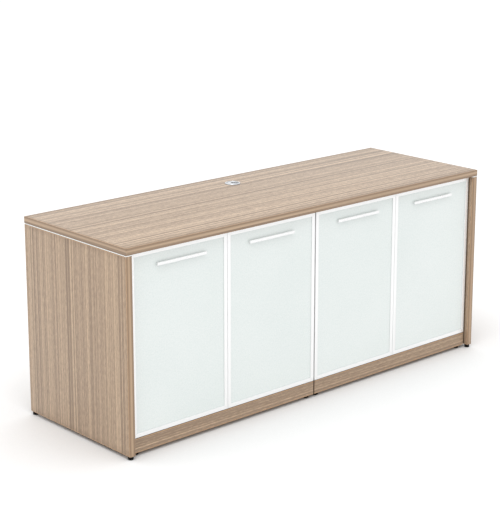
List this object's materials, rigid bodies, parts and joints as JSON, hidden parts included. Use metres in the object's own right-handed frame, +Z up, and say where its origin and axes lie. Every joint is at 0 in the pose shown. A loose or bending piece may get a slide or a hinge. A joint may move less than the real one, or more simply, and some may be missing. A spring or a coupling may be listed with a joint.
{
  "type": "office credenza",
  "caption": "Low office credenza: wood-grain worktop on end panels with thin reveal strips, cabinets with framed frosted glass doors and bar pulls, cable grommet, levelling glides.",
  "frame": {"origin": "centre of the footprint, on the floor under the glides", "axes": "+X along the length to the right of someone facing the doors, +Y from the doors to the back, +Z up"},
  "size_m": [1.78, 0.59, 0.7525],
  "materials": {
    "laminate": "satin wood-grain laminate with long streaks",
    "carcass": "satin wood-grain laminate",
    "frame": "satin white coat",
    "frosted_glass": "frosted, pale green-grey",
    "strip": "satin",
    "silver": "satin silver",
    "steel": "zinc-plated",
    "black_plastic": "matt",
    "grey_plastic": "matt"
  },
  "bodies": {
    "base": {"worktop": "laminate", "modesty_panel": "laminate", "grommet_liner": "silver", "end_panel_left": "laminate", "reveal_strip_left": "strip", "end_panel_right": "laminate", "reveal_strip_right": "strip", "left_cabinet_side_left": "carcass", "left_cabinet_side_right": "carcass", "left_cabinet_bottom": "carcass", "left_cabinet_top": "carcass", "left_cabinet_shelf": "carcass", "left_cabinet_back": "carcass", "left_cabinet_plinth": "laminate", "left_cabinet_rear_rail": "carcass", "left_cabinet_door_stop": "grey_plastic", "door_1_pivot_sill": "steel", "door_1_pivot_head": "steel", "door_2_pivot_sill": "steel", "door_2_pivot_head": "steel", "right_cabinet_side_left": "carcass", "right_cabinet_side_right": "carcass", "right_cabinet_bottom": "carcass", "right_cabinet_top": "carcass", "right_cabinet_shelf": "carcass", "right_cabinet_back": "carcass", "right_cabinet_plinth": "laminate", "right_cabinet_rear_rail": "carcass", "right_cabinet_door_stop": "grey_plastic", "door_3_pivot_sill": "steel", "door_3_pivot_head": "steel", "door_4_pivot_sill": "steel", "door_4_pivot_head": "steel"},
    "grommet_cap": {"grommet_cap": "silver"},
    "end_left_glide_front": {"end_left_glide_front": "black_plastic"},
    "end_left_glide_rear": {"end_left_glide_rear": "black_plastic"},
    "end_right_glide_front": {"end_right_glide_front": "black_plastic"},
    "end_right_glide_rear": {"end_right_glide_rear": "black_plastic"},
    "door_1": {"door_1_frame": "frame", "door_1_glass": "frosted_glass", "door_1_handle": "frame"},
    "door_2": {"door_2_frame": "frame", "door_2_glass": "frosted_glass", "door_2_handle": "frame"},
    "left_cabinet_glide_front_left": {"left_cabinet_glide_front_left": "black_plastic"},
    "left_cabinet_glide_rear_left": {"left_cabinet_glide_rear_left": "black_plastic"},
    "left_cabinet_glide_front_right": {"left_cabinet_glide_front_right": "black_plastic"},
    "left_cabinet_glide_rear_right": {"left_cabinet_glide_rear_right": "black_plastic"},
    "door_3": {"door_3_frame": "frame", "door_3_glass": "frosted_glass", "door_3_handle": "frame"},
    "door_4": {"door_4_frame": "frame", "door_4_glass": "frosted_glass", "door_4_handle": "frame"},
    "right_cabinet_glide_front_left": {"right_cabinet_glide_front_left": "black_plastic"},
    "right_cabinet_glide_rear_left": {"right_cabinet_glide_rear_left": "black_plastic"},
    "right_cabinet_glide_front_right": {"right_cabinet_glide_front_right": "black_plastic"},
    "right_cabinet_glide_rear_right": {"right_cabinet_glide_rear_right": "black_plastic"}
  },
  "joints": [
    {"name": "grommet_cap_turn", "type": "hinge", "parent": "base", "child": "grommet_cap", "pos_m": [0, 0.183, 0.749], "axis": [0, 0, 1], "continuous": true},
    {"name": "end_left_glide_front_turn", "type": "hinge", "parent": "base", "child": "end_left_glide_front", "pos_m": [-0.8775, -0.2825, 0], "axis": [0, 0, 1], "continuous": true},
    {"name": "end_left_glide_rear_turn", "type": "hinge", "parent": "base", "child": "end_left_glide_rear", "pos_m": [-0.8775, 0.2825, 0], "axis": [0, 0, 1], "continuous": true},
    {"name": "end_right_glide_front_turn", "type": "hinge", "parent": "base", "child": "end_right_glide_front", "pos_m": [0.8775, -0.2825, 0], "axis": [0, 0, 1], "continuous": true},
    {"name": "end_right_glide_rear_turn", "type": "hinge", "parent": "base", "child": "end_right_glide_rear", "pos_m": [0.8775, 0.2825, 0], "axis": [0, 0, 1], "continuous": true},
    {"name": "door_1_swing", "type": "hinge", "parent": "base", "child": "door_1", "pos_m": [-0.8525, -0.271, 0.39425], "axis": [0, 0, 1], "range_deg": [-100, 0]},
    {"name": "door_2_swing", "type": "hinge", "parent": "base", "child": "door_2", "pos_m": [-0.00925, -0.271, 0.39425], "axis": [0, 0, 1], "range_deg": [0, 100]},
    {"name": "left_cabinet_glide_front_left_turn", "type": "hinge", "parent": "base", "child": "left_cabinet_glide_front_left", "pos_m": [-0.837, -0.258, 0], "axis": [0, 0, 1], "continuous": true},
    {"name": "left_cabinet_glide_rear_left_turn", "type": "hinge", "parent": "base", "child": "left_cabinet_glide_rear_left", "pos_m": [-0.819, 0.1005, 0], "axis": [0, 0, 1], "continuous": true},
    {"name": "left_cabinet_glide_front_right_turn", "type": "hinge", "parent": "base", "child": "left_cabinet_glide_front_right", "pos_m": [-0.02475, -0.258, 0], "axis": [0, 0, 1], "continuous": true},
    {"name": "left_cabinet_glide_rear_right_turn", "type": "hinge", "parent": "base", "child": "left_cabinet_glide_rear_right", "pos_m": [-0.04275, 0.1005, 0], "axis": [0, 0, 1], "continuous": true},
    {"name": "door_3_swing", "type": "hinge", "parent": "base", "child": "door_3", "pos_m": [0.00925, -0.271, 0.39425], "axis": [0, 0, 1], "range_deg": [-100, 0]},
    {"name": "door_4_swing", "type": "hinge", "parent": "base", "child": "door_4", "pos_m": [0.8525, -0.271, 0.39425], "axis": [0, 0, 1], "range_deg": [0, 100]},
    {"name": "right_cabinet_glide_front_left_turn", "type": "hinge", "parent": "base", "child": "right_cabinet_glide_front_left", "pos_m": [0.02475, -0.258, 0], "axis": [0, 0, 1], "continuous": true},
    {"name": "right_cabinet_glide_rear_left_turn", "type": "hinge", "parent": "base", "child": "right_cabinet_glide_rear_left", "pos_m": [0.04275, 0.1005, 0], "axis": [0, 0, 1], "continuous": true},
    {"name": "right_cabinet_glide_front_right_turn", "type": "hinge", "parent": "base", "child": "right_cabinet_glide_front_right", "pos_m": [0.837, -0.258, 0], "axis": [0, 0, 1], "continuous": true},
    {"name": "right_cabinet_glide_rear_right_turn", "type": "hinge", "parent": "base", "child": "right_cabinet_glide_rear_right", "pos_m": [0.819, 0.1005, 0], "axis": [0, 0, 1], "continuous": true}
  ]
}
